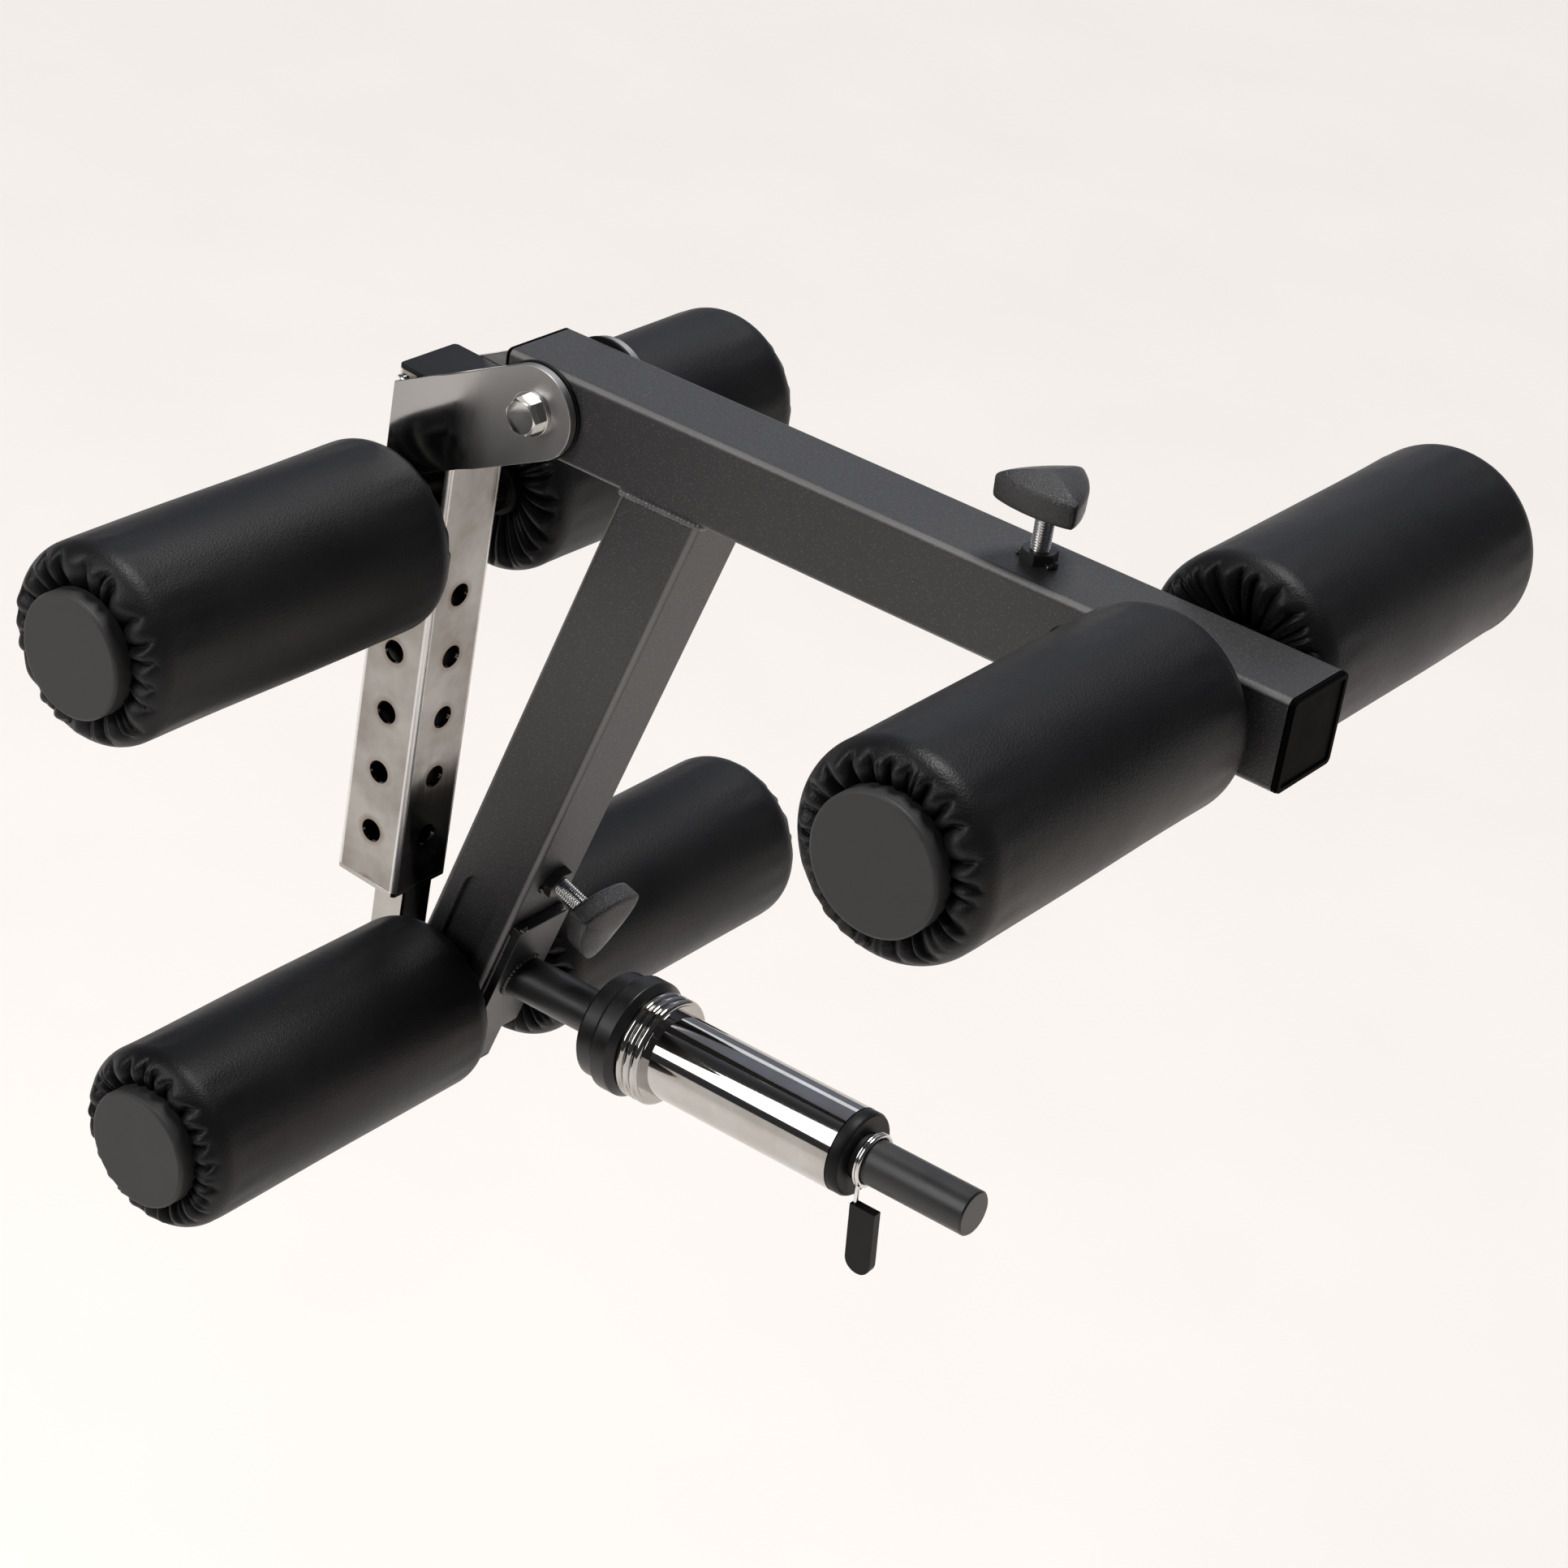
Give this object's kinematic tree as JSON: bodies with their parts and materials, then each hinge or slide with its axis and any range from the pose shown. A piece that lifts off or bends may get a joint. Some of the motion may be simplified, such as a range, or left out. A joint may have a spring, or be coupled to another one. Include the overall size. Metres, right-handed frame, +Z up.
{
  "type": "weight bench leg developer",
  "caption": "Square chrome post carrying a pivoting lever with a lower arm, padded rollers, clamp knobs and a weight sleeve with a spring collar.",
  "frame": {"origin": "centre line of the square post, level with its top lock hole", "axes": "+X from the post towards the free end of the lever, +Z up the post, Y across the rollers"},
  "size_m": [0.5902, 0.5428, 0.5359],
  "materials": {
    "chrome_tube": "polished",
    "chrome_sleeve": "polished",
    "chrome_wire": "polished",
    "zinc": "satin",
    "grey_coat": "satin",
    "black_coat": "satin",
    "black_plastic": "satin",
    "knob_plastic": "matte",
    "cap_plastic": "satin",
    "rubber": "satin",
    "core_plastic": "matte",
    "foam": "matte",
    "black_cover": "satin"
  },
  "bodies": {
    "post": {"post_tube": "chrome_tube", "post_top_cap": "black_plastic", "foot_plate": "chrome_tube", "stop_stub": "chrome_tube", "stop_buffer": "rubber", "ear_near": "chrome_tube", "ear_far": "chrome_tube", "pivot_bolt": "zinc", "pivot_washers": "zinc", "pivot_lock_nut": "zinc", "knee_pipe": "chrome_tube", "knee_pipe_caps": "cap_plastic"},
    "lever": {"lever_tube": "grey_coat", "lower_arm": "grey_coat", "arm_weld": "grey_coat", "lever_rear_cap": "black_plastic", "lever_front_cap": "black_plastic", "arm_foot_cap": "black_plastic", "pivot_tube": "grey_coat", "pivot_bushes": "black_plastic", "weld_nuts": "black_coat", "bar_base_plate": "black_coat", "loading_bar": "black_coat", "bar_bumper": "rubber"},
    "upper_carriage": {"upper_slider": "grey_coat", "upper_pipe": "chrome_tube", "upper_pipe_caps": "cap_plastic"},
    "lower_carriage": {"lower_slider": "grey_coat", "lower_pipe": "chrome_tube", "lower_pipe_caps": "cap_plastic"},
    "upper_stud": {"upper_knob_stud": "zinc"},
    "upper_knob": {"upper_knob_head": "knob_plastic"},
    "lower_stud": {"lower_knob_stud": "zinc"},
    "lower_knob": {"lower_knob_head": "knob_plastic"},
    "knee_near_roller": {"knee_near_core": "core_plastic", "knee_near_foam": "foam", "knee_near_cover": "black_cover"},
    "knee_far_roller": {"knee_far_core": "core_plastic", "knee_far_foam": "foam", "knee_far_cover": "black_cover"},
    "upper_near_roller": {"upper_near_core": "core_plastic", "upper_near_foam": "foam", "upper_near_cover": "black_cover"},
    "upper_far_roller": {"upper_far_core": "core_plastic", "upper_far_foam": "foam", "upper_far_cover": "black_cover"},
    "lower_near_roller": {"lower_near_core": "core_plastic", "lower_near_foam": "foam", "lower_near_cover": "black_cover"},
    "lower_far_roller": {"lower_far_core": "core_plastic", "lower_far_foam": "foam", "lower_far_cover": "black_cover"},
    "sleeve": {"sleeve_tube": "chrome_sleeve", "sleeve_rings": "chrome_sleeve", "sleeve_inner_bush": "black_plastic", "sleeve_end_plug": "black_plastic"},
    "collar": {"collar_coil": "chrome_wire", "collar_grips": "black_plastic"}
  },
  "joints": [
    {"name": "lever_pivot", "type": "hinge", "parent": "post", "child": "lever", "pos_m": [0.0798, 0, 0.1473], "axis": [0, -1, 0], "range_deg": [0, 110]},
    {"name": "upper_carriage_slide", "type": "slide", "parent": "lever", "child": "upper_carriage", "axis": [0.9986, 0, 0.0523], "range_m": [-0.057, 0.026]},
    {"name": "lower_carriage_slide", "type": "slide", "parent": "lever", "child": "lower_carriage", "axis": [-0.2639, 0, -0.9646], "range_m": [-0.079, 0.021]},
    {"name": "upper_stud_travel", "type": "slide", "parent": "lever", "child": "upper_stud", "axis": [-0.0523, 0, 0.9986], "range_m": [0, 0.003]},
    {"name": "upper_knob_turn", "type": "hinge", "parent": "upper_stud", "child": "upper_knob", "pos_m": [0.37449, 0, 0.18778], "axis": [-0.0523, 0, 0.9986], "range_deg": [0, 720]},
    {"name": "lower_stud_travel", "type": "slide", "parent": "lever", "child": "lower_stud", "axis": [0.9646, 0, -0.2639], "range_m": [0, 0.003]},
    {"name": "lower_knob_turn", "type": "hinge", "parent": "lower_stud", "child": "lower_knob", "pos_m": [0.11795, 0, -0.13894], "axis": [0.9646, 0, -0.2639], "range_deg": [0, 720]},
    {"name": "knee_near_spin", "type": "hinge", "parent": "post", "child": "knee_near_roller", "pos_m": [0, 0, 0.043], "axis": [0, 1, 0], "continuous": true},
    {"name": "knee_far_spin", "type": "hinge", "parent": "post", "child": "knee_far_roller", "pos_m": [0, 0, 0.043], "axis": [0, 1, 0], "continuous": true},
    {"name": "upper_near_spin", "type": "hinge", "parent": "upper_carriage", "child": "upper_near_roller", "pos_m": [0.47296, 0, 0.1679], "axis": [0, 1, 0], "continuous": true},
    {"name": "upper_far_spin", "type": "hinge", "parent": "upper_carriage", "child": "upper_far_roller", "pos_m": [0.47296, 0, 0.1679], "axis": [0, 1, 0], "continuous": true},
    {"name": "lower_near_spin", "type": "hinge", "parent": "lower_carriage", "child": "lower_near_roller", "pos_m": [0.06574, 0, -0.23507], "axis": [0, 1, 0], "continuous": true},
    {"name": "lower_far_spin", "type": "hinge", "parent": "lower_carriage", "child": "lower_far_roller", "pos_m": [0.06574, 0, -0.23507], "axis": [0, 1, 0], "continuous": true},
    {"name": "sleeve_spin", "type": "hinge", "parent": "lever", "child": "sleeve", "pos_m": [0.09763, 0, -0.21321], "axis": [0.9968, 0, 0.0802], "continuous": true},
    {"name": "collar_slide", "type": "slide", "parent": "lever", "child": "collar", "axis": [0.9968, 0, 0.0802], "range_m": [0, 0.06]}
  ],
  "couplings": [
    {"joint": "upper_stud_travel", "follows": "upper_knob_turn", "m_per_rad": 0.00023873},
    {"joint": "lower_stud_travel", "follows": "lower_knob_turn", "m_per_rad": 0.00023873}
  ]
}
